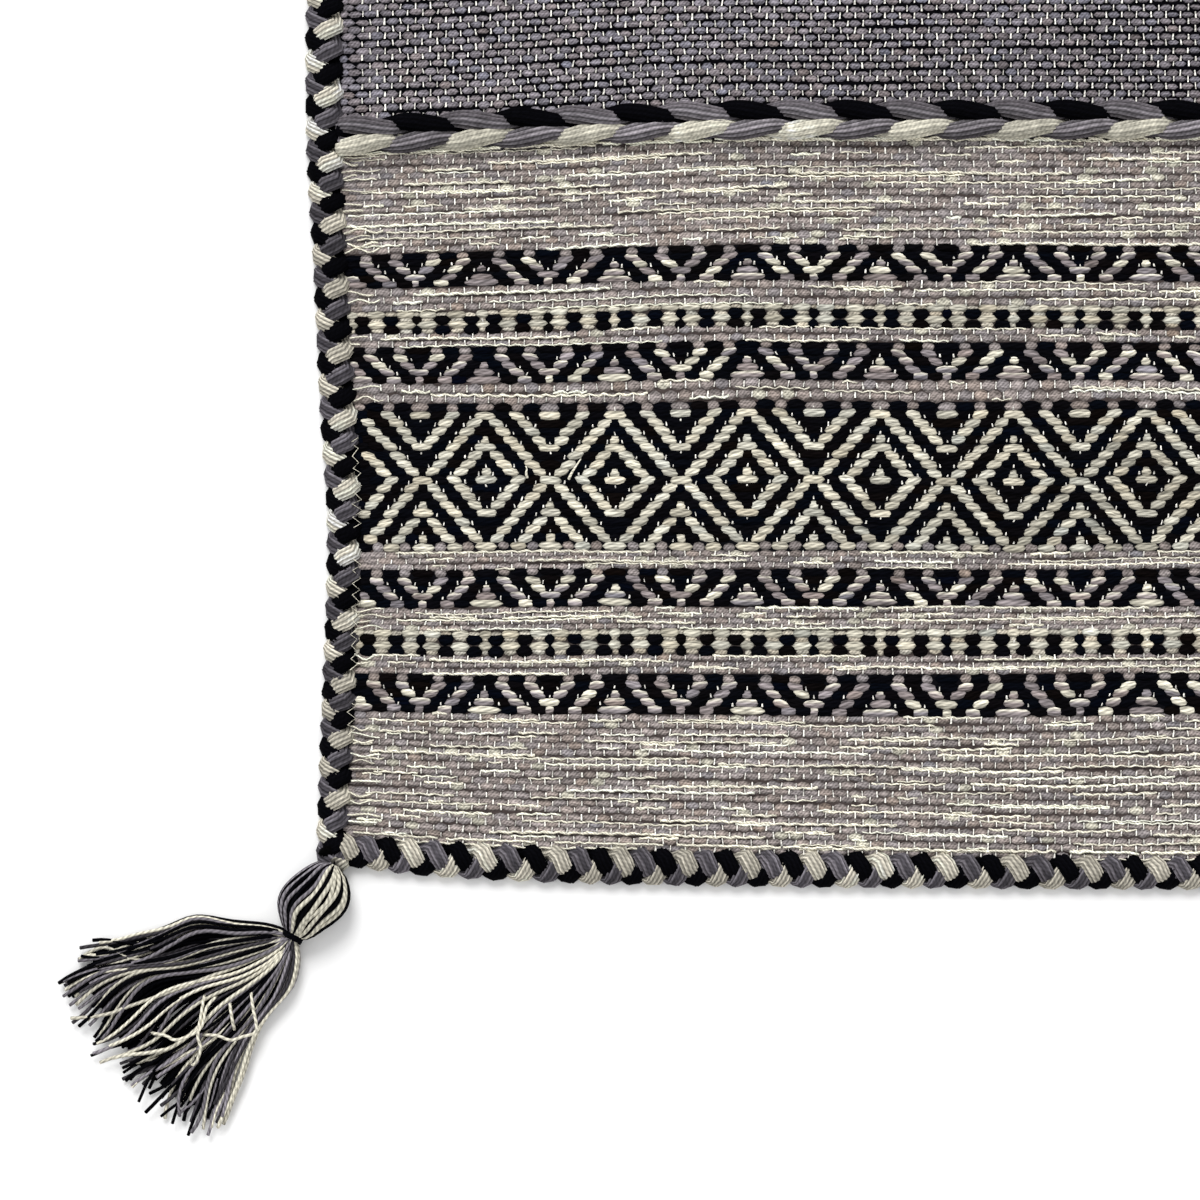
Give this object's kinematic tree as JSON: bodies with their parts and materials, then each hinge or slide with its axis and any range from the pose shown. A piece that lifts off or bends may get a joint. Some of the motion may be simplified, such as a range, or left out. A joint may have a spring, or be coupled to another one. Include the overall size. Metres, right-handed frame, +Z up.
{
  "type": "flat-woven rug",
  "caption": "Small flat-woven cotton rug with patterned ends, a plain field, a plaited edge all round and a tied tassel at each corner.",
  "frame": {"origin": "middle of the cloth's flat underside, on the floor", "axes": "+X across the rug along its wefts, +Y along its warps to the far end, +Z up out of its face"},
  "size_m": [0.7804, 1.0863, 0.0145],
  "materials": {
    "cloth": "flat-woven cotton, matt",
    "plait": "plaited cotton yarn, matt",
    "twined_braid": "twined cotton yarn, matt",
    "tassel": "twisted cotton yarn, matt",
    "tassel_tie": "black cotton thread, matt"
  },
  "bodies": {
    "root": {"cloth": "cloth", "plait_left": "plait", "plait_right": "plait", "plait_near": "plait", "plait_far": "plait", "braid_near": "twined_braid", "braid_far": "twined_braid", "tassel_near_left": "tassel", "tassel_near_right": "tassel", "tassel_far_right": "tassel", "tassel_far_left": "tassel", "tie_near_left": "tassel_tie", "tie_near_right": "tassel_tie", "tie_far_right": "tassel_tie", "tie_far_left": "tassel_tie"}
  },
  "joints": []
}
